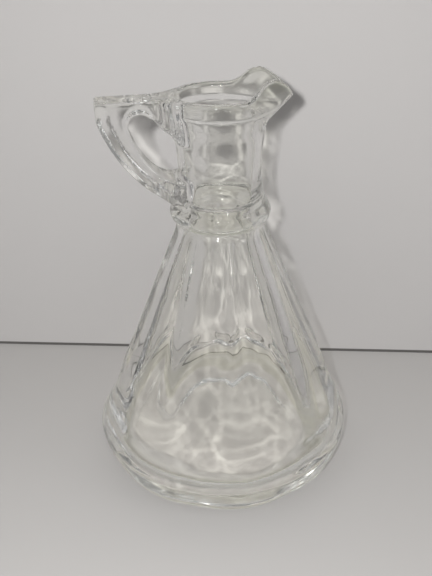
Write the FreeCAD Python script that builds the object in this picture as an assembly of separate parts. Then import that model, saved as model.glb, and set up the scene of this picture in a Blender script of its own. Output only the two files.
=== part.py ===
import FreeCAD, Part

import math
import os

# A small clear pressed-glass cruet: a jug for oil or vinegar with an eight-panelled conical
# body, a ring round the foot of its neck, an open mouth with a pouring spout, and a loop handle.
# The real object is one piece of glass. It is divided here where one shaped region meets the
# next, and each region is a closed solid that meets its neighbours face to face.
#
# Millimetres. Origin at the middle of the base on the table, +Z up, +X towards the spout and
# -X towards the handle. One of the eight ridges of the body lies in the plane of the spout.

V = FreeCAD.Vector
UP = V(0, 0, 1)

# Heights where one region ends and the next begins.
BASE_TOP_Z = 9.0
PANEL_FOOT_Z = 24.0
PANEL_TOP_Z = 81.0
NECK_RING_TOP_Z = 89.3
MOUTH_Z = 112.0
COLLAR_Z = 116.0
RIM_Z = 120.0

# Foot: a narrow resting ring round a shallow hollow.
FOOT_RADIUS = 34.0
FOOT_RING_WIDTH = 4.0
FOOT_HOLLOW_DEPTH = 0.8

# Heel: the widest part, a round bulge below the panels.
HEEL_WIDEST_RADIUS = 40.6
HEEL_WIDEST_Z = 13.0

# Panels: radius of the octagon's corners where the panels start and end.
PANEL_COUNT = 8
CORNER_RADIUS_AT_FOOT = 36.7
CORNER_RADIUS_AT_TOP = 13.3
CORNER_SOFTENING = 0.10
FLAT_RATIO = math.cos(math.pi / PANEL_COUNT)
PANEL_RUNOUT_DROP = 6.5
PANEL_RUNOUT_REACH = 6.0

# Cavity: its flat floor lies in the base, and it is widest in the heel.
FLOOR_Z = 7.0
CAVITY_FLOOR_RADIUS = 27.0
CAVITY_WIDEST_RADIUS = 35.0
CAVITY_WIDEST_Z = 12.5
CAVITY_RADIUS_AT_PANEL_FOOT = 31.2
CAVITY_RADIUS_AT_PANEL_TOP = 10.0

# Neck: its straight bore, the narrower throat below, and the ring outside.
NECK_BORE_RADIUS = 9.6
NECK_BORE_TOP_Z = 108.3
THROAT_RADIUS = 8.7
THROAT_LOW_Z = 84.2
THROAT_HIGH_Z = 87.6
RING_FOOT_RADIUS = 12.9
RING_FOOT_TOP_Z = 82.6
RING_SHOULDER_RADIUS = 14.4
NECK_RING_RADIUS = 14.8
NECK_RING_MIDDLE_Z = 85.9
NECK_FOOT_RADIUS = 13.4
NECK_WAIST_RADIUS = 11.9
NECK_TOP_RADIUS = 13.3
NECK_TOP_BORE_RADIUS = 10.4

# Mouth.
RIM_RADIUS = 14.0
RIM_BORE_RADIUS = 11.8
LIP_ROUNDING = 0.8
COLLAR_STEP = 0.7

# Spout: the part of the mouth beyond this distance along +X.
SPOUT_ROOT_X = 5.9
SPOUT_TIP_RADIUS = 2.2
SPOUT_WALL = 2.1
SPOUT_TIP_X = 21.1
SPOUT_TIP_Z = 118.1
SPOUT_FOOT_X = 14.6
CHEEK_PEAK_X = 13.4
CHEEK_PEAK_Z = 124.7
SPOUT_TOP_Z = 126.0

# Handle.
HANDLE_WIDTH = 9.0
HANDLE_TOP_Z = 120.4
HANDLE_TIP_X = -33.9
HANDLE_EDGE_ROUNDING = 3.4
ROOT_HALF_WIDTH = 7.6
ROOT_DEPTH_X = -8.0


def curve(points):
    """One smooth edge through points given as (radius, height)."""
    spline = Part.BSplineCurve()
    spline.interpolate([V(r, 0, z) for r, z in points])
    return spline.toShape()


def line(start, end):
    return Part.makeLine(V(start[0], 0, start[1]), V(end[0], 0, end[1]))


def arc(start, middle, end):
    return Part.Arc(*(V(r, 0, z) for r, z in (start, middle, end))).toShape()


def turned(edges):
    """A solid of revolution about the Z axis from a closed outline of edges."""
    face = Part.Face(Part.Wire(edges))
    return face.revolve(V(0, 0, 0), UP, 360)


def slab(low_z, high_z):
    """Everything between two heights."""
    reach = 60.0
    return Part.makeBox(2 * reach, 2 * reach, high_z - low_z, V(-reach, -reach, low_z))


def extruded(edges, half_width):
    """A closed outline in the XZ plane, made solid by its width along Y."""
    face = Part.Face(Part.Wire(edges))
    face.translate(V(0, half_width, 0))
    return face.extrude(V(0, -2 * half_width, 0))


def heel_solid():
    """The filled outside of the jug from the table to the foot of the panels."""
    side = curve([
        (FOOT_RADIUS, 0),
        (38.0, 3.8),
        (39.9, 8.2),
        (HEEL_WIDEST_RADIUS, HEEL_WIDEST_Z),
        (39.3, 18.0),
        (CORNER_RADIUS_AT_FOOT, PANEL_FOOT_Z),
    ])
    return turned([
        line((0, 0), (FOOT_RADIUS, 0)),
        side,
        line((CORNER_RADIUS_AT_FOOT, PANEL_FOOT_Z), (0, PANEL_FOOT_Z)),
        line((0, PANEL_FOOT_Z), (0, 0)),
    ])


def cavity_solid():
    """The hollow inside the jug, from its flat floor to the underside of the neck ring."""
    floor_edge = (CAVITY_FLOOR_RADIUS, FLOOR_Z)
    panel_foot = (CAVITY_RADIUS_AT_PANEL_FOOT, PANEL_FOOT_Z)
    panel_top = (CAVITY_RADIUS_AT_PANEL_TOP, PANEL_TOP_Z)
    widest = (CAVITY_WIDEST_RADIUS, CAVITY_WIDEST_Z)
    bowl = curve([floor_edge, (32.8, 8.9), widest, (33.6, 17.5), panel_foot])
    return turned([
        line((0, FLOOR_Z), floor_edge),
        bowl,
        line(panel_foot, panel_top),
        line(panel_top, (0, PANEL_TOP_Z)),
        line((0, PANEL_TOP_Z), (0, FLOOR_Z)),
    ])


def panel_runout(index):
    """A cutter that lets one flat panel run out into the round heel below it."""
    flat = CORNER_RADIUS_AT_FOOT * FLAT_RATIO
    low_z = PANEL_FOOT_Z - PANEL_RUNOUT_DROP
    end = flat + PANEL_RUNOUT_REACH
    outside = HEEL_WIDEST_RADIUS + 5.0
    above = PANEL_FOOT_Z + 1.0
    cutter = extruded([
        arc((flat, PANEL_FOOT_Z), (flat + 1.9, low_z + 2.2), (end, low_z)),
        line((end, low_z), (outside, low_z)),
        line((outside, low_z), (outside, above)),
        line((outside, above), (flat, above)),
        line((flat, above), (flat, PANEL_FOOT_Z)),
    ], 25.0)
    cutter.rotate(V(0, 0, 0), UP, (index + 0.5) * 360 / PANEL_COUNT)
    return cutter


def octagon(corner_radius, z):
    """The body's cross-section: a regular polygon whose corners are softened by small arcs."""
    setback = CORNER_SOFTENING * corner_radius
    step = 2 * math.pi / PANEL_COUNT
    corners = [
        V(corner_radius * math.cos(i * step), corner_radius * math.sin(i * step), z)
        for i in range(PANEL_COUNT)
    ]
    starts = []
    ends = []
    for i, corner in enumerate(corners):
        to_last = (corners[i - 1] - corner).normalize()
        to_next = (corners[(i + 1) % PANEL_COUNT] - corner).normalize()
        starts.append(corner + to_last * setback)
        ends.append(corner + to_next * setback)
    edges = []
    for i, corner in enumerate(corners):
        chord_middle = (starts[i] + ends[i]) * 0.5
        middle = chord_middle + (corner - chord_middle) * 0.45
        edges.append(Part.Arc(starts[i], middle, ends[i]).toShape())
        edges.append(Part.makeLine(ends[i], starts[(i + 1) % PANEL_COUNT]))
    return Part.Wire(edges)


def rounded_pair(big_radius, small_radius, tip_x, z):
    """Outline round a big circle on the axis and a small one whose far side is at tip_x."""
    centre_x = tip_x - small_radius
    lean = math.acos((big_radius - small_radius) / centre_x)

    def on_circle(radius, x, angle):
        return V(x + radius * math.cos(angle), radius * math.sin(angle), z)

    edges = [
        Part.Arc(
            on_circle(big_radius, 0, lean),
            on_circle(big_radius, 0, math.pi),
            on_circle(big_radius, 0, -lean),
        ).toShape(),
        Part.makeLine(on_circle(big_radius, 0, -lean), on_circle(small_radius, centre_x, -lean)),
        Part.Arc(
            on_circle(small_radius, centre_x, -lean),
            on_circle(small_radius, centre_x, 0),
            on_circle(small_radius, centre_x, lean),
        ).toShape(),
        Part.makeLine(on_circle(small_radius, centre_x, lean), on_circle(big_radius, 0, lean)),
    ]
    return Part.Wire(edges)


def spout_space():
    """The part of the mouth's space that belongs to the spout."""
    reach = 60.0
    height = SPOUT_TOP_Z + 5.0 - MOUTH_Z
    return Part.makeBox(reach, 2 * reach, height, V(SPOUT_ROOT_X, -reach, MOUTH_Z))


def mouth_ring():
    """The whole collar of the mouth, before the spout's space is taken out of it."""
    lip_z = RIM_Z - LIP_ROUNDING
    outer_lip = (RIM_RADIUS, lip_z)
    inner_lip = (RIM_BORE_RADIUS, lip_z)
    crown = ((RIM_RADIUS + RIM_BORE_RADIUS) / 2, RIM_Z)
    return turned([
        line((NECK_TOP_BORE_RADIUS, MOUTH_Z), (NECK_TOP_RADIUS, MOUTH_Z)),
        line((NECK_TOP_RADIUS, MOUTH_Z), (NECK_TOP_RADIUS, COLLAR_Z - COLLAR_STEP)),
        line((NECK_TOP_RADIUS, COLLAR_Z - COLLAR_STEP), (RIM_RADIUS, COLLAR_Z)),
        line((RIM_RADIUS, COLLAR_Z), outer_lip),
        curve([outer_lip, (RIM_RADIUS - 0.3, RIM_Z - 0.2), crown]),
        curve([crown, (RIM_BORE_RADIUS + 0.3, RIM_Z - 0.2), inner_lip]),
        curve([inner_lip, (RIM_BORE_RADIUS - 0.4, COLLAR_Z), (NECK_TOP_BORE_RADIUS, MOUTH_Z)]),
    ])


def filled_neck():
    """The outside of everything from the panels' top to the rim, with no bore."""
    return turned([
        line((0, PANEL_TOP_Z), (RING_FOOT_RADIUS, PANEL_TOP_Z)),
        *neck_ring_side(),
        *neck_side(),
        line((NECK_TOP_RADIUS, MOUTH_Z), (NECK_TOP_RADIUS, COLLAR_Z - COLLAR_STEP)),
        line((NECK_TOP_RADIUS, COLLAR_Z - COLLAR_STEP), (RIM_RADIUS, COLLAR_Z)),
        line((RIM_RADIUS, COLLAR_Z), (RIM_RADIUS, HANDLE_TOP_Z + 1.0)),
        line((RIM_RADIUS, HANDLE_TOP_Z + 1.0), (0, HANDLE_TOP_Z + 1.0)),
        line((0, HANDLE_TOP_Z + 1.0), (0, PANEL_TOP_Z)),
    ])


def neck_ring_side():
    """The outside of the ring from bottom to top: a short foot, then the round bead."""
    return [
        line((RING_FOOT_RADIUS, PANEL_TOP_Z), (RING_FOOT_RADIUS, RING_FOOT_TOP_Z)),
        curve([
            (RING_FOOT_RADIUS, RING_FOOT_TOP_Z),
            (RING_SHOULDER_RADIUS, THROAT_LOW_Z),
            (NECK_RING_RADIUS, NECK_RING_MIDDLE_Z),
            (RING_SHOULDER_RADIUS, THROAT_HIGH_Z),
            (NECK_FOOT_RADIUS, NECK_RING_TOP_Z),
        ]),
    ]


def neck_side():
    """The outside of the neck, drawn in at its waist."""
    return [curve([
        (NECK_FOOT_RADIUS, NECK_RING_TOP_Z),
        (12.3, 93.0),
        (NECK_WAIST_RADIUS, 97.8),
        (12.15, 103.0),
        (12.9, NECK_BORE_TOP_Z),
        (NECK_TOP_RADIUS, MOUTH_Z),
    ])]


def base():
    """The thick bottom of the jug, with the floor of the cavity and a hollow foot."""
    hollow_radius = FOOT_RADIUS - FOOT_RING_WIDTH
    hollow = turned([
        line((0, 0), (hollow_radius, 0)),
        curve([(hollow_radius, 0), (hollow_radius - 2.5, FOOT_HOLLOW_DEPTH * 0.8),
               (hollow_radius - 6.0, FOOT_HOLLOW_DEPTH)]),
        line((hollow_radius - 6.0, FOOT_HOLLOW_DEPTH), (0, FOOT_HOLLOW_DEPTH)),
        line((0, FOOT_HOLLOW_DEPTH), (0, 0)),
    ])
    return heel_solid().common(slab(0, BASE_TOP_Z)).cut(hollow).cut(cavity_solid())


def heel():
    """The round bulge between the base and the panels, cut by the run-out of every panel."""
    cutters = [panel_runout(i) for i in range(PANEL_COUNT)]
    ring = heel_solid().common(slab(BASE_TOP_Z, PANEL_FOOT_Z))
    return ring.cut(cutters).cut(cavity_solid())


def panelled_body():
    """The conical body with its flat panels."""
    outside = Part.makeLoft([
        octagon(CORNER_RADIUS_AT_FOOT, PANEL_FOOT_Z),
        octagon(CORNER_RADIUS_AT_TOP, PANEL_TOP_Z),
    ], True, True)
    return outside.cut(cavity_solid())


def neck_ring():
    """The bead round the foot of the neck, with the narrow throat inside it."""
    return turned([
        line((CAVITY_RADIUS_AT_PANEL_TOP, PANEL_TOP_Z), (RING_FOOT_RADIUS, PANEL_TOP_Z)),
        *neck_ring_side(),
        line((NECK_FOOT_RADIUS, NECK_RING_TOP_Z), (NECK_BORE_RADIUS, NECK_RING_TOP_Z)),
        line((NECK_BORE_RADIUS, NECK_RING_TOP_Z), (THROAT_RADIUS, THROAT_HIGH_Z)),
        line((THROAT_RADIUS, THROAT_HIGH_Z), (THROAT_RADIUS, THROAT_LOW_Z)),
        line((THROAT_RADIUS, THROAT_LOW_Z), (CAVITY_RADIUS_AT_PANEL_TOP, PANEL_TOP_Z)),
    ])


def neck():
    """The waisted neck with its straight bore, which flares towards the mouth."""
    return turned([
        line((NECK_BORE_RADIUS, NECK_RING_TOP_Z), (NECK_FOOT_RADIUS, NECK_RING_TOP_Z)),
        *neck_side(),
        line((NECK_TOP_RADIUS, MOUTH_Z), (NECK_TOP_BORE_RADIUS, MOUTH_Z)),
        line((NECK_TOP_BORE_RADIUS, MOUTH_Z), (NECK_BORE_RADIUS, NECK_BORE_TOP_Z)),
        line((NECK_BORE_RADIUS, NECK_BORE_TOP_Z), (NECK_BORE_RADIUS, NECK_RING_TOP_Z)),
    ])


def rim():
    """The round part of the mouth, left open where the spout is."""
    return mouth_ring().cut(spout_space())


def pouring_spout():
    """The trough that the mouth runs out into: two raised cheeks that meet in a beak."""
    slope = (SPOUT_TIP_X - SPOUT_FOOT_X) / (SPOUT_TIP_Z - MOUTH_Z)
    outer = []
    inner = []
    for z in (MOUTH_Z, COLLAR_Z - COLLAR_STEP, COLLAR_Z, SPOUT_TIP_Z, SPOUT_TOP_Z):
        tip_x = SPOUT_TIP_X + (z - SPOUT_TIP_Z) * slope
        share = min((z - MOUTH_Z) / (RIM_Z - MOUTH_Z), 1.0)
        outer_radius = RIM_RADIUS if z >= COLLAR_Z else NECK_TOP_RADIUS
        inner_radius = NECK_TOP_BORE_RADIUS + (RIM_BORE_RADIUS - NECK_TOP_BORE_RADIUS) * share
        outer.append(rounded_pair(outer_radius, SPOUT_TIP_RADIUS, tip_x, z))
        inner.append(rounded_pair(inner_radius, SPOUT_TIP_RADIUS / 2, tip_x - SPOUT_WALL, z))
    shell = Part.makeLoft(outer, True, True).cut(Part.makeLoft(inner, True, True))
    above_z = SPOUT_TOP_Z + 4.0
    clear_x = SPOUT_TIP_X + 15.0
    start = (0.0, RIM_Z)
    foot = (5.2, RIM_Z)
    end = (SPOUT_TIP_X + 4.0, 112.6)
    above_lip = extruded([
        line(start, foot),
        curve([foot, (8.3, 121.7), (10.6, 123.8), (CHEEK_PEAK_X, CHEEK_PEAK_Z), (16.7, 123.1),
               (19.2, 120.7), (SPOUT_TIP_X, SPOUT_TIP_Z), end]),
        line(end, (clear_x, end[1])),
        line((clear_x, end[1]), (clear_x, above_z)),
        line((clear_x, above_z), (0, above_z)),
        line((0, above_z), start),
    ], 20.0)
    return shell.common(spout_space()).cut(above_lip)


def handle_outline():
    """The handle's outside seen from the side, closed inside the neck."""
    tip = (HANDLE_TIP_X, HANDLE_TOP_Z)
    low = (-14.5, 88.9)
    foot = (ROOT_DEPTH_X, 85.5)
    return [
        line((ROOT_DEPTH_X, HANDLE_TOP_Z), tip),
        curve([tip, (-33.4, 112.1), (-28.7, 102.5), (-21.8, 94.2), low]),
        line(low, foot),
        line(foot, (ROOT_DEPTH_X, HANDLE_TOP_Z)),
    ]


def finger_hole():
    """The leaf-shaped gap between the handle and the neck."""
    inside_x = ROOT_DEPTH_X + 4.0
    top = (-13.0, 109.4)
    low = (-13.2, 96.6)
    side = curve([top, (-16.9, 112.0), (-18.7, 114.3), (-21.8, 115.9),
                  (-24.6, 114.8), (-25.2, 111.6), (-22.3, 104.6), (-17.8, 99.2), low])
    return extruded([
        side,
        line(low, (inside_x, low[1])),
        line((inside_x, low[1]), (inside_x, top[1])),
        line((inside_x, top[1]), top),
    ], 20.0)


def root_plan():
    """The handle's outline from above near the neck, where it widens to meet the glass."""
    half = HANDLE_WIDTH / 2
    start = V(-20.0, half, 80.0)
    middle = V(-16.0, half + 0.8, 80.0)
    end = V(-12.4, ROOT_HALF_WIDTH, 80.0)
    inner = V(ROOT_DEPTH_X, ROOT_HALF_WIDTH, 80.0)

    def mirrored(point):
        return V(point.x, -point.y, point.z)

    edges = [
        Part.Arc(start, middle, end).toShape(),
        Part.makeLine(end, inner),
        Part.makeLine(inner, mirrored(inner)),
        Part.makeLine(mirrored(inner), mirrored(end)),
        Part.Arc(mirrored(end), mirrored(middle), mirrored(start)).toShape(),
        Part.makeLine(mirrored(start), start),
    ]
    return Part.Face(Part.Wire(edges)).extrude(UP * 45.0)


def handle():
    """The loop handle: a thick strap, rounded along its outside, with a wide root."""
    strap = extruded(handle_outline(), HANDLE_WIDTH / 2)
    outer_edges = [
        edge for edge in strap.Edges
        if edge.Length > 30 and abs(edge.CenterOfMass.y) > 1 and edge.CenterOfMass.z < 115
    ]
    strap = strap.makeFillet(HANDLE_EDGE_ROUNDING, outer_edges)
    root = extruded(handle_outline(), ROOT_HALF_WIDTH + 1.0).common(root_plan())
    return strap.fuse(root).cut(finger_hole()).cut(filled_neck()).removeSplitter()


PIECES = {
    "base": base,
    "heel": heel,
    "panelled_body": panelled_body,
    "neck_ring": neck_ring,
    "neck": neck,
    "rim": rim,
    "pouring_spout": pouring_spout,
    "handle": handle,
}

os.makedirs("parts", exist_ok=True)
for name, make in PIECES.items():
    shape = make()
    box = shape.optimalBoundingBox()
    print(name, "solids", len(shape.Solids), "valid", shape.isValid(), "volume", round(shape.Volume),
          "x", round(box.XMin, 1), round(box.XMax, 1), "z", round(box.ZMin, 1), round(box.ZMax, 1))
    shape.exportStep(f"parts/{name}.step")
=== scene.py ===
"""Looks for a clear pressed-glass cruet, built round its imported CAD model.

The glass is one continuous shape, described by a formula that is negative inside the glass. A surface net
turns it into a closed mesh, which is then divided into the eight regions of the CAD model. Lengths in the
formulas are millimetres, in the frame's axes: +Z up, +X towards the spout, -X towards the handle.
"""

import math

import bmesh
import bpy
import numpy as np
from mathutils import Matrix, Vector


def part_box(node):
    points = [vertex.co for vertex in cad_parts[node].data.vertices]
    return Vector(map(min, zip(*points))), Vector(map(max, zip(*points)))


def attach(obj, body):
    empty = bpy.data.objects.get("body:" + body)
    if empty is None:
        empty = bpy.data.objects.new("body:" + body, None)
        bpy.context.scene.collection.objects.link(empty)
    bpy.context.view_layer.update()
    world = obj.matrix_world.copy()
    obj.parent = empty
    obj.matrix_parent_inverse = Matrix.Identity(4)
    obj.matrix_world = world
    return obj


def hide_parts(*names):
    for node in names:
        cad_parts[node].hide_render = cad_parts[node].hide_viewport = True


MM = 0.001

# Mesh: the spacing of its net, and the space that the net fills.
NET_STEP = 0.7
NET_LOW = (-42, -42, -2.35)
NET_HIGH = (42, 42, 127)

# Outside of the jug: (height, radius) of its ridges and of its round parts.
RIDGE_LINE = [
    (0, 34.2), (4, 38.0), (8, 39.8), (13, 40.7), (18, 38.9), (24, 36.1), (30, 33.9), (38, 31.1), (48, 26.9),
    (62, 21.2), (81, 13.3),
]
# (height, rounding) of the ridges: the jug is eight-sided above and almost round at the heel.
ROUNDING_LINE = [(0, 7), (8, 10), (13, 11), (18, 8), (24, 5.5), (32, 3.4), (45, 1.7), (60, 1.0), (81, 0.7)]
NECK_LINE = [
    (78, 12.4), (81.5, 12.9), (82.8, 13.0), (84.2, 14.4), (85.9, 14.8), (87.6, 14.4), (89.3, 13.3),
    (93, 12.3), (97.8, 11.9), (103, 12.1), (108.3, 12.8), (114.4, 13.4), (116.0, 14.2), (119, 14.0),
    (128, 14.0),
]
PANELS = 8
BODY_TOP_Z = 82.0
NECK_FOOT_Z = 78.0
FOOT_HOLLOW_DEPTH = 0.8
FOOT_HOLLOW_RADIUS = 24.0
FOOT_RING_RADIUS = 30.5

# How much shorter true distances are than the formulas' on the slanting sides of the parts.
BODY_SLANT = 0.93
NECK_SLANT = 0.85
CAVITY_SLANT = 0.9

# Inside of the jug: the height of its floor, the waves in its wall, and (height, radius) of the cavity.
FLOOR_Z = 7.0
FLOOR_ROUNDING = 5.0
RIPPLE = 0.05
RIPPLE_FADE_Z = 104.0
CAVITY_LINE = [
    (0, 32.0), (7, 33.6), (12.5, 35.0), (17.5, 33.8), (24, 31.4), (50, 21.6), (78, 11.1), (81.5, 9.8),
    (84.2, 8.7), (87.6, 8.7), (90, 9.5), (97, 9.6), (108.3, 9.8), (112, 10.5), (116, 11.4), (120, 11.8),
    (128, 12.0),
]

# Spout: how far its beak reaches, and the height of the lip along it.
SPOUT_START_Z = 108.0
MOUTH_Z = 112.0
BEAK_SLOPE = 1.066
BEAK_TIP_X = 21.1
BEAK_TIP_Z = 118.1
BEAK_TIP_RADIUS = 2.2
SPOUT_WALL = 2.1
LIP_LINE = [
    (-20, 120), (3.0, 120), (5.6, 120.2), (8.3, 121.7), (10.6, 123.8), (13.4, 124.6), (16.7, 123.1),
    (19.2, 120.7), (21.1, 118.1), (25.1, 112.6),
]

# Handle, seen from the side as (x, z). Its outline and its gap are closed inside the neck.
HANDLE_TOP_Z = 120.4
HANDLE_OUTSIDE = [
    (-33.9, 120.4), (-33.9, 116.5), (-33.2, 111.5), (-28.7, 102.5), (-21.8, 94.2), (-14.5, 88.9),
]
HANDLE_ENDS = [(-9.0, 86.0), (-9.0, HANDLE_TOP_Z)]
FINGER_GAP = [
    (-12.6, 107.8), (-14.1, 110.0), (-16.9, 112.2), (-18.7, 114.3), (-21.8, 115.9), (-24.6, 114.8),
    (-25.2, 111.6), (-22.3, 104.6), (-17.8, 99.2), (-13.2, 96.6),
]
GAP_ENDS = [(-5.0, 96.6), (-5.0, 107.8)]
HANDLE_HALF_WIDTH = 4.5
HANDLE_BEVEL = 3.4
BEVEL_DEPTH = 0.82
BEVEL_FADE_Z = (112.0, 119.0)

# The handle widens into the neck from this distance along -X.
ROOT_START_X = -20.0
ROOT_LENGTH = 7.6
ROOT_EXTRA_HALF_WIDTH = 3.0

# The handle's formula is only worked out within this space round it.
HANDLE_SPACE_X = -6
HANDLE_SPACE_Z = (82, 126)
HANDLE_SPACE_HALF_WIDTH = 14

# How far outside the neck ring the handle is divided from the neck.
HANDLE_ROOT_GAP = 0.2

# Glass: (height as a part of the jug's height, colour) of its tint, which is greener where it is thick.
JUG_HEIGHT = 125.0
TINT_BY_HEIGHT = [
    (0.0, (0.99, 0.992, 0.985)), (0.012, (0.985, 0.987, 0.97)), (0.02, (0.82, 0.825, 0.73)),
    (0.048, (0.86, 0.865, 0.79)), (0.053, (0.99, 0.992, 0.985)), (0.06, (0.99, 0.992, 0.985)),
    (0.068, (0.87, 0.875, 0.80)), (0.10, (0.90, 0.905, 0.84)), (0.13, (0.994, 0.994, 0.986)),
    (0.64, (0.996, 0.996, 0.990)),
    (0.69, (0.955, 0.96, 0.90)), (0.74, (0.994, 0.995, 0.986)), (0.92, (0.994, 0.995, 0.986)),
    (1.0, (0.945, 0.955, 0.885)),
]
# Painted shade where the glass is seen edge-on: a darker olive colour, and how closely it keeps to the edges.
# It stands partly for the longer, greener path through the glass there and partly for the dark outlines that
# bent light gives at the edges.
EDGE_PAINTED_SHADE = (0.66, 0.67, 0.56)
EDGE_SHADE_POWER = 3.0

# Lamp light that crosses the glass: what is left of it by height, the bright lines that bending gathers it
# into, and what is left where it grazes the surface.
LIGHT_THROUGH_BY_HEIGHT = [
    (0.0, (1.08, 1.07, 1.06)), (0.3, (0.96, 0.955, 0.95)), (0.6, (0.83, 0.83, 0.82)),
    (0.9, (0.76, 0.76, 0.75)), (0.93, (0.15, 0.15, 0.145)),
]
BRIGHT_LINE_SCALE = 70.0
BRIGHT_LINE_FADE = [(0.0, (1, 1, 1)), (0.07, (0.2, 0.2, 0.2)), (0.3, (0, 0, 0))]
BRIGHT_LINE_LIGHT = (1.4, 1.4, 1.38)
GRAZING_LIGHT = (0.25, 0.25, 0.24)
GRAZING_POWER = 5.0

# Camera, wall and lights, in metres, degrees and watts.
CAMERA_LENS = 47.23
CAMERA_PLACE = (-0.0367, -0.2027, 0.1713)
CAMERA_TURN = (61.44, 0.89, -10.28)
WALL_DISTANCE = 0.0564
WALL_TURN = -13.9
# Height of the dark strip at the foot of the wall. It is painted shade for the shadowed gap where wall and
# floor meet.
GAP_SHADE_HEIGHT = 0.0012
STAGE_HALF = 1.5
FLOOR_COLOR = (0.48, 0.465, 0.45)
WALL_COLOR = (0.47, 0.455, 0.445)
# Colour of that strip of painted shade.
GAP_SHADE_COLOR = (0.10, 0.095, 0.09)
SKY_COLOR = (0.75, 0.76, 0.78, 1)
SKY_STRENGTH = 0.32
# name, place, target, power, width, height
LIGHTS = [
    ("flash", (-0.072, -0.247, 0.199), (0, 0, 0.06), 0.87, 0.009, 0.009),
    ("room", (-0.3, -0.3, 0.9), (0, 0, 0), 1.15, 0.8, 0.8),
    ("fill", (0.45, -0.35, 0.35), (0.06, 0.03, 0.02), 0.35, 0.25, 0.25),
    ("front_strip", (0.136, -0.994, 0.42), (0, 0, 0.05), 0.25, 0.03, 0.12),
]
# Light crosses many walls of glass before it leaves the jug.
GLASS_BOUNCES = 24
GLOSSY_BOUNCES = 16


def smooth_line(knots, x):
    """A smooth curve through the knots (x, y), which are in order of x, read at every x."""
    kx, ky = np.array(knots, float).T
    chord = np.diff(ky) / np.diff(kx)
    before, after = chord[:-1], chord[1:]
    slope = np.empty_like(ky)
    slope[0], slope[-1] = chord[0], chord[-1]
    slope[1:-1] = np.where(before * after > 0, 2 * before * after / (before + after + 1e-12), 0)
    i = np.clip(np.searchsorted(kx, x) - 1, 0, len(kx) - 2)
    width = kx[i + 1] - kx[i]
    t = np.clip((x - kx[i]) / width, 0, 1)
    return (
        ky[i] * (1 + 2 * t) * (1 - t) ** 2
        + slope[i] * width * t * (1 - t) ** 2
        + ky[i + 1] * t * t * (3 - 2 * t)
        - slope[i + 1] * width * t * t * (1 - t)
    )


def smooth_path(points, per_span=12):
    """A Catmull-Rom curve through points, as many short straight steps."""
    p = np.array(points, float)
    p = np.vstack([2 * p[0] - p[1], p, 2 * p[-1] - p[-2]])
    t = np.linspace(0, 1, per_span, endpoint=False)[:, None]
    spans = [
        0.5 * (2 * b + (c - a) * t + (2 * a - 5 * b + 4 * c - d) * t**2 + (3 * b - a - 3 * c + d) * t**3)
        for a, b, c, d in zip(p, p[1:], p[2:], p[3:])
    ]
    return np.vstack(spans + [p[-2:-1]])


def larger(a, b, blend):
    """The larger of a and b, rounded over where they are within blend of each other."""
    near = np.maximum(blend - np.abs(a - b), 0)
    return np.maximum(a, b) + near * near / (4 * blend)


def smaller(a, b, blend):
    """The smaller of a and b, rounded over in the same way."""
    return -larger(-a, -b, blend)


def step_up(x, low, high):
    """0 below low and 1 above high, with a smooth rise between them."""
    t = np.clip((x - low) / (high - low), 0, 1)
    return t * t * (3 - 2 * t)


def to_path(x, z, path):
    """Distance from each (x, z) to a path of straight steps."""
    best = np.full(x.shape, 1e9)
    for (ax, az), (bx, bz) in zip(path, path[1:]):
        dx, dz = bx - ax, bz - az
        t = np.clip(((x - ax) * dx + (z - az) * dz) / (dx * dx + dz * dz + 1e-12), 0, 1)
        best = np.minimum(best, (x - ax - t * dx) ** 2 + (z - az - t * dz) ** 2)
    return np.sqrt(best)


def to_outline(x, z, path):
    """Distance to a closed outline, negative inside it."""
    inside = np.zeros(x.shape, bool)
    closed = np.vstack([path, path[:1]])
    for (ax, az), (bx, bz) in zip(closed, closed[1:]):
        if az != bz:
            inside ^= ((az > z) != (bz > z)) & (x < (bx - ax) * (z - az) / (bz - az) + ax)
    return np.where(inside, -1, 1) * to_path(x, z, closed)


def to_beak(x, y, big, small, tip_x):
    """Distance to the outline round a big circle on the axis and a small one whose far side is at tip_x."""
    centre = np.maximum(tip_x - small, big - small + 0.01)
    lean = (big - small) / centre
    along = np.sqrt(1 - lean * lean)
    y = np.abs(y)
    side = along * x - lean * y
    flat = lean * x + along * y - big
    tip = np.hypot(x - centre, y) - small
    return np.where(side < 0, np.hypot(x, y) - big, np.where(side > centre * along, tip, flat))


def beak_reach(z, radius):
    """How far the outside of the mouth reaches along +X: the round neck, then the beak of the spout."""
    beak = BEAK_TIP_X + (z - BEAK_TIP_Z) * BEAK_SLOPE
    return larger(radius, beak, 1.5)


def outside(x, y, z):
    """The filled jug without its handle."""
    rho = np.hypot(x, y)
    turn = np.arctan2(y, x)
    step = 2 * math.pi / PANELS
    off_middle = np.abs((turn % step) - step / 2)
    flat_ratio = math.cos(step / 2)
    rounding = smooth_line(ROUNDING_LINE, z)
    across = larger(rho * np.cos(off_middle), rho * np.cos(step - off_middle), rounding) - rounding / 4
    body = (across - smooth_line(RIDGE_LINE, z) * flat_ratio) * BODY_SLANT
    body = larger(body, z - BODY_TOP_Z, 1.0)
    radius = smooth_line(NECK_LINE, z)
    neck = to_beak(x, y, radius, BEAK_TIP_RADIUS, beak_reach(z, radius)) * NECK_SLANT
    neck = larger(neck, NECK_FOOT_Z - z, 1.0)
    jug = smaller(body, neck, 0.8)
    hollow = FOOT_HOLLOW_DEPTH * (1 - step_up(rho, FOOT_HOLLOW_RADIUS, FOOT_RING_RADIUS))
    return larger(jug, hollow - z, 2.2)


def ripples(x, y, z):
    """The gentle waves that pressing leaves on the inside of the glass."""
    slow = np.sin(0.43 * x + 1.7 * np.sin(0.19 * z + 0.8)) * np.sin(0.39 * y + 1.4 * np.sin(0.23 * z + 2.1))
    fine = np.sin(0.97 * x - 0.31 * z + 0.5) * np.sin(0.88 * y + 0.42 * z + 1.9)
    return RIPPLE * (slow + 0.35 * fine)


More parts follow.
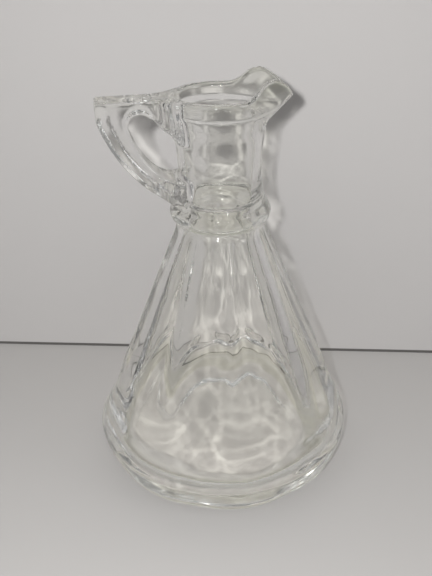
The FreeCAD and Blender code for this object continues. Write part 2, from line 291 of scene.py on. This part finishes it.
def hollow_inside(x, y, z):
    """The cavity, from the floor of the jug up through the mouth."""
    radius = smooth_line(CAVITY_LINE, z)
    mouth = step_up(z, SPOUT_START_Z, MOUTH_Z)
    tip_x = np.maximum(radius, beak_reach(z, radius) * mouth - SPOUT_WALL)
    side = to_beak(x, y, radius, BEAK_TIP_RADIUS / 2, tip_x) * CAVITY_SLANT
    rippled = 1 - step_up(z, RIPPLE_FADE_Z, MOUTH_Z)
    return larger(side, FLOOR_Z - z, FLOOR_ROUNDING) + ripples(x, y, z) * rippled


HANDLE_PATH = smooth_path(HANDLE_OUTSIDE)
GAP_PATH = smooth_path(FINGER_GAP)


def handle(x, y, z):
    """The handle, thinner towards its outer edge and wider where it meets the neck."""
    outline = np.vstack([HANDLE_PATH, HANDLE_ENDS])
    gap = np.vstack([GAP_PATH, GAP_ENDS])
    side = larger(to_outline(x, z, outline), -to_outline(x, z, gap), 0.8)
    inward = np.clip(to_path(x, z, HANDLE_PATH) / HANDLE_BEVEL, 0, 1)
    bevel = BEVEL_DEPTH * (1 - step_up(z, *BEVEL_FADE_Z))
    half = HANDLE_HALF_WIDTH * (1 - bevel * (1 - inward))
    half = half + ROOT_EXTRA_HALF_WIDTH * np.clip((x - ROOT_START_X) / ROOT_LENGTH, 0, 1) ** 2
    return larger(side, np.abs(y) - half, 1.2)


def glass(x, y, z):
    """Negative inside the glass, positive outside it."""
    jug = outside(x, y, z)
    low, high = HANDLE_SPACE_Z
    near = (x < HANDLE_SPACE_X) & (z > low) & (z < high) & (np.abs(y) < HANDLE_SPACE_HALF_WIDTH)
    if near.any():
        grip = handle(x[near], y[near], z[near])
        jug[near] = smaller(jug[near], grip, 1.6)
    solid = larger(jug, -hollow_inside(x, y, z), 0.6)
    return larger(solid, z - smooth_line(LIP_LINE, x), 1.6)


def uphill(points, reach=0.02):
    """The formula's value and gradient at each point."""
    x, y, z = points.T
    value = glass(x, y, z)
    slope = np.column_stack([
        glass(x + reach, y, z) - glass(x - reach, y, z),
        glass(x, y + reach, z) - glass(x, y - reach, z),
        glass(x, y, z + reach) - glass(x, y, z - reach),
    ]) / (2 * reach)
    return value, slope


def onto_surface(points, times):
    """Moves points along the gradient until they lie where the formula is zero."""
    for _ in range(times):
        value, slope = uphill(points)
        length = np.maximum((slope**2).sum(1), 0.05)
        move = np.clip(value / length, -0.5, 0.5)
        points = points - slope * move[:, None]
    return points


def surface_net(low, high, step):
    """Points and four-sided faces of the surface where the formula is zero."""
    axes = [np.arange(a, b + step, step) for a, b in zip(low, high)]
    shape = tuple(len(a) for a in axes)
    field = np.empty(shape)
    gx, gy = np.meshgrid(axes[0], axes[1], indexing="ij")
    for k, height in enumerate(axes[2]):
        field[:, :, k] = glass(gx.ravel(), gy.ravel(), np.full(gx.size, height)).reshape(gx.shape)
    cells, places, quads = [], [], []
    for axis in range(3):
        first = [slice(None)] * 3
        second = [slice(None)] * 3
        first[axis], second[axis] = slice(0, -1), slice(1, None)
        a, b = field[tuple(first)], field[tuple(second)]
        index = np.argwhere((a < 0) != (b < 0))
        va, vb = a[tuple(index.T)], b[tuple(index.T)]
        place = index.astype(float)
        place[:, axis] += va / (va - vb)
        others = [(axis + 1) % 3, (axis + 2) % 3]
        corners = []
        for back in ((0, 0), (1, 0), (1, 1), (0, 1)):
            cell = index.copy()
            cell[:, others[0]] -= back[0]
            cell[:, others[1]] -= back[1]
            corners.append(np.ravel_multi_index(cell.T, shape))
        quad = np.column_stack(corners)
        quad[va > 0] = quad[va > 0, ::-1]
        quads.append(quad)
        cells.append(quad.ravel())
        places.append(np.repeat(place, 4, axis=0))
    cells, places = np.concatenate(cells), np.concatenate(places)
    ids, vertex, count = np.unique(cells, return_inverse=True, return_counts=True)
    points = np.column_stack([np.bincount(vertex, places[:, i]) / count for i in range(3)])
    faces = np.searchsorted(ids, np.concatenate(quads))
    return points * step + [a[0] for a in axes], faces


def relaxed(points, faces, times=4):
    """Evens out the mesh by drawing each point towards its neighbours, then back to the surface."""
    start = faces.ravel()
    end = np.roll(faces, -1, axis=1).ravel()
    count = np.bincount(start, minlength=len(points)) + np.bincount(end, minlength=len(points))
    for _ in range(times):
        total = np.column_stack([
            np.bincount(start, points[end, i], len(points)) + np.bincount(end, points[start, i], len(points))
            for i in range(3)
        ])
        points = points + 0.5 * (total / count[:, None] - points)
        points = onto_surface(points, 2)
    return onto_surface(points, 2)


def half_space(solid, point, normal):
    """The part of a closed mesh behind a plane, closed again by flat faces of material 1."""
    part = solid.copy()
    cut = bmesh.ops.bisect_plane(
        part,
        geom=part.verts[:] + part.edges[:] + part.faces[:],
        plane_co=point,
        plane_no=normal,
        clear_outer=True,
        dist=1e-5,
    )
    edges = [e for e in cut["geom_cut"] if isinstance(e, bmesh.types.BMEdge)]
    filled = bmesh.ops.triangle_fill(part, edges=edges, use_beauty=True, normal=normal)
    for face in filled["geom"]:
        if isinstance(face, bmesh.types.BMFace):
            face.material_index = 1
            if face.normal.dot(Vector(normal)) < 0:
                face.normal_flip()
    return part


def divided(solid, point, normal):
    """Both parts of a closed mesh: behind the plane, then in front of it."""
    other = tuple(-n for n in normal)
    return half_space(solid, point, normal), half_space(solid, point, other)


def regions(solid):
    """The jug divided where the CAD nodes divide it."""
    panels_low, panels_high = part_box("panelled_body")
    neck_low, neck_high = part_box("neck")
    base_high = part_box("base")[1]
    spout_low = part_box("pouring_spout")[0]
    ring_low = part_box("neck_ring")[0]
    made = {}
    low, high = divided(solid, (0, 0, panels_high.z / MM), (0, 0, 1))
    foot, made["glass_panelled_body"] = divided(low, (0, 0, panels_low.z / MM), (0, 0, 1))
    made["glass_base"], made["glass_heel"] = divided(foot, (0, 0, base_high.z / MM), (0, 0, 1))
    made["glass_handle"], core = divided(high, (ring_low.x / MM - HANDLE_ROOT_GAP, 0, 0), (1, 0, 0))
    made["glass_neck_ring"], upper = divided(core, (0, 0, neck_low.z / MM), (0, 0, 1))
    made["glass_neck"], mouth = divided(upper, (0, 0, neck_high.z / MM), (0, 0, 1))
    made["glass_rim"], made["glass_pouring_spout"] = divided(mouth, (spout_low.x / MM, 0, 0), (1, 0, 0))
    return made


def add_piece(name, part, materials):
    """A mesh object in metres, with the formula's own normals on the glass."""
    mesh = bpy.data.meshes.new(name)
    part.to_mesh(mesh)
    points = np.empty(len(mesh.vertices) * 3)
    mesh.vertices.foreach_get("co", points)
    points = points.reshape(-1, 3)
    slope = uphill(points)[1]
    slope /= np.linalg.norm(slope, axis=1)[:, None]
    corners = np.empty(len(mesh.loops), int)
    mesh.loops.foreach_get("vertex_index", corners)
    normals = slope[corners]
    for face in mesh.polygons:
        if face.material_index == 1:
            normals[face.loop_start:face.loop_start + face.loop_total] = face.normal
    mesh.vertices.foreach_set("co", (points * MM).ravel())
    for material in materials:
        mesh.materials.append(material)
    mesh.polygons.foreach_set("use_smooth", [True] * len(mesh.polygons))
    mesh.update()
    mesh.normals_split_custom_set(normals.tolist())
    piece = bpy.data.objects.new(name, mesh)
    bpy.context.scene.collection.objects.link(piece)
    return piece


def ramp(nodes, links, source, stops):
    """A colour ramp driven by a number, with stops as (place, colour)."""
    node = nodes.new("ShaderNodeValToRGB")
    first, last = node.color_ramp.elements
    first.position, first.color = stops[0][0], (*stops[0][1], 1)
    last.position, last.color = stops[-1][0], (*stops[-1][1], 1)
    for place, color in stops[1:-1]:
        element = node.color_ramp.elements.new(place)
        element.color = (*color, 1)
    links.new(source, node.inputs["Fac"])
    return node.outputs["Color"]


def power(nodes, links, source, exponent):
    node = nodes.new("ShaderNodeMath")
    node.operation = "POWER"
    links.new(source, node.inputs[0])
    node.inputs[1].default_value = exponent
    return node.outputs[0]


def mixed(nodes, links, factor, source, color):
    """The source's colour, turned into a set colour as the factor goes from 0 to 1."""
    node = nodes.new("ShaderNodeMix")
    node.data_type = "RGBA"
    links.new(factor, node.inputs[0])
    links.new(source, node.inputs[6])
    node.inputs[7].default_value = (*color, 1)
    return node.outputs[2]


def mixed_shader(material, factor, first, second):
    """Makes the material show first, or second where the factor is 1."""
    nodes, links = material.node_tree.nodes, material.node_tree.links
    mix = nodes.new("ShaderNodeMixShader")
    links.new(factor, mix.inputs["Fac"])
    links.new(first.outputs["BSDF"], mix.inputs[1])
    links.new(second.outputs["BSDF"], mix.inputs[2])
    links.new(mix.outputs["Shader"], nodes["Material Output"].inputs["Surface"])


def glass_material():
    """Clear glass, a little greener where it is thick and darkened by painted shade where it is seen edge-on,
    that lets some of each lamp's light through.
    """
    material = bpy.data.materials.new("clear_glass")
    material.use_nodes = True
    nodes, links = material.node_tree.nodes, material.node_tree.links
    shader = nodes["Principled BSDF"]
    shader.inputs["Roughness"].default_value = 0.03
    shader.inputs["IOR"].default_value = 1.5
    shader.inputs["Transmission Weight"].default_value = 1.0
    place = nodes.new("ShaderNodeTexCoord")
    split = nodes.new("ShaderNodeSeparateXYZ")
    links.new(place.outputs["Object"], split.inputs[0])
    height = nodes.new("ShaderNodeMath")
    height.operation = "DIVIDE"
    links.new(split.outputs["Z"], height.inputs[0])
    height.inputs[1].default_value = JUG_HEIGHT * MM
    slant = nodes.new("ShaderNodeLayerWeight")
    slant.inputs["Blend"].default_value = 0.5

    tint = ramp(nodes, links, height.outputs[0], TINT_BY_HEIGHT)
    # Painted shade: the base colour turns darker olive where the surface is seen edge-on.
    edge = power(nodes, links, slant.outputs["Facing"], EDGE_SHADE_POWER)
    links.new(mixed(nodes, links, edge, tint, EDGE_PAINTED_SHADE), shader.inputs["Base Color"])

    cells = nodes.new("ShaderNodeTexVoronoi")
    cells.feature = "DISTANCE_TO_EDGE"
    cells.inputs["Scale"].default_value = BRIGHT_LINE_SCALE
    links.new(place.outputs["Object"], cells.inputs["Vector"])
    bright_lines = ramp(nodes, links, cells.outputs["Distance"], BRIGHT_LINE_FADE)
    light = ramp(nodes, links, height.outputs[0], LIGHT_THROUGH_BY_HEIGHT)
    light = mixed(nodes, links, bright_lines, light, BRIGHT_LINE_LIGHT)
    grazing = power(nodes, links, slant.outputs["Facing"], GRAZING_POWER)
    light = mixed(nodes, links, grazing, light, GRAZING_LIGHT)
    through = nodes.new("ShaderNodeBsdfTransparent")
    links.new(light, through.inputs["Color"])
    path = nodes.new("ShaderNodeLightPath")
    mixed_shader(material, path.outputs["Is Shadow Ray"], shader, through)
    return material


def joint_material():
    """For the flat faces between two regions, inside the glass, where light goes straight on."""
    material = bpy.data.materials.new("inside_the_glass")
    material.use_nodes = True
    nodes, links = material.node_tree.nodes, material.node_tree.links
    nodes.remove(nodes["Principled BSDF"])
    through = nodes.new("ShaderNodeBsdfTransparent")
    links.new(through.outputs["BSDF"], nodes["Material Output"].inputs["Surface"])
    return material


def plain_material(name, color, roughness):
    material = bpy.data.materials.new(name)
    material.use_nodes = True
    shader = material.node_tree.nodes["Principled BSDF"]
    shader.inputs["Base Color"].default_value = (*color, 1)
    shader.inputs["Roughness"].default_value = roughness
    return material


def wall_material(name, color):
    """Plain, and clear from behind, so that the wall hides nothing when the object is seen from the back."""
    material = plain_material(name, color, 0.8)
    nodes = material.node_tree.nodes
    side = nodes.new("ShaderNodeNewGeometry")
    through = nodes.new("ShaderNodeBsdfTransparent")
    mixed_shader(material, side.outputs["Backfacing"], nodes["Principled BSDF"], through)
    return material


def make_stage():
    """A pale floor and a pale wall behind the object, with a thin dark strip of painted shade where they
    meet, standing in for the shadowed gap between them.
    """
    pale = plain_material("pale_floor", FLOOR_COLOR, 0.7)
    wall = wall_material("pale_wall", WALL_COLOR)
    # A thin dark sheet of painted shade at the foot of the wall, for the shadowed gap between wall and floor.
    shade = wall_material("painted_gap_shade", GAP_SHADE_COLOR)
    wall_turn = math.radians(WALL_TURN)
    wall_place = (-WALL_DISTANCE * math.sin(wall_turn), WALL_DISTANCE * math.cos(wall_turn), 0)
    upright = (math.radians(90), 0, wall_turn)
    for name, low, high, place, turn, material in (
        ("floor", -STAGE_HALF, STAGE_HALF, (0, 0, 0), (0, 0, 0), pale),
        ("backdrop", GAP_SHADE_HEIGHT, STAGE_HALF, wall_place, upright, wall),
        ("painted_gap_shade_strip", 0.0, GAP_SHADE_HEIGHT, wall_place, upright, shade),
    ):
        mesh = bpy.data.meshes.new(name)
        corners = [(-STAGE_HALF, low, 0), (STAGE_HALF, low, 0), (STAGE_HALF, high, 0), (-STAGE_HALF, high, 0)]
        mesh.from_pydata(corners, [], [(0, 1, 2, 3)])
        mesh.materials.append(material)
        plane = bpy.data.objects.new(name, mesh)
        plane.location = place
        plane.rotation_euler = turn
        bpy.context.scene.collection.objects.link(plane)


def add_light(name, place, target, watts, width, height):
    """A rectangular lamp at place that faces target."""
    light = bpy.data.lights.new(name, "AREA")
    light.energy = watts
    light.shape = "RECTANGLE"
    light.size = width
    light.size_y = height
    lamp = bpy.data.objects.new(name, light)
    lamp.location = place
    lamp.rotation_euler = (Vector(target) - Vector(place)).to_track_quat("-Z", "Y").to_euler()
    bpy.context.scene.collection.objects.link(lamp)


def make_sky():
    world = bpy.data.worlds.new("world")
    world.use_nodes = True
    sky = world.node_tree.nodes["Background"]
    sky.inputs["Color"].default_value = SKY_COLOR
    sky.inputs["Strength"].default_value = SKY_STRENGTH
    bpy.context.scene.world = world


def set_light_paths():
    """Enough bounces to get through every wall of the jug, with no traced caustics beside the stand-in."""
    cycles = bpy.context.scene.cycles
    cycles.caustics_refractive = False
    cycles.max_bounces = GLASS_BOUNCES
    cycles.glossy_bounces = GLOSSY_BOUNCES
    cycles.transmission_bounces = GLASS_BOUNCES
    cycles.transparent_max_bounces = GLASS_BOUNCES


def make_camera():
    data = bpy.data.cameras.new("camera")
    data.lens = CAMERA_LENS
    data.clip_start = 0.01
    camera = bpy.data.objects.new("camera", data)
    camera.location = CAMERA_PLACE
    camera.rotation_euler = [math.radians(angle) for angle in CAMERA_TURN]
    bpy.context.scene.collection.objects.link(camera)
    bpy.context.scene.camera = camera


def make_glass():
    """The eight pieces of the jug, each on the CAD's one body and in place of its own node."""
    points, faces = surface_net(NET_LOW, NET_HIGH, NET_STEP)
    points = relaxed(points, faces)
    whole = bpy.data.meshes.new("whole")
    whole.from_pydata(points.tolist(), [], faces.tolist())
    solid = bmesh.new()
    solid.from_mesh(whole)
    solid.normal_update()
    materials = [glass_material(), joint_material()]
    for name, part in regions(solid).items():
        piece = add_piece(name, part, materials)
        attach(piece, "root")
        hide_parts(name.removeprefix("glass_"))


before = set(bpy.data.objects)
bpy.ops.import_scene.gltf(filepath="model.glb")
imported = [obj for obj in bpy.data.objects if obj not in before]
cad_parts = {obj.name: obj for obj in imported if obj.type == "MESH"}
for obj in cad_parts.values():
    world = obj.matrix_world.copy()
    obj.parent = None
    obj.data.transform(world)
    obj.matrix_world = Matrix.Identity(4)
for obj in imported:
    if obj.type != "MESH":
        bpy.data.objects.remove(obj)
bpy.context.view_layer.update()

make_glass()
make_stage()
make_camera()
for lamp in LIGHTS:
    add_light(*lamp)
make_sky()
set_light_paths()
bpy.context.scene.view_settings.view_transform = "Standard"
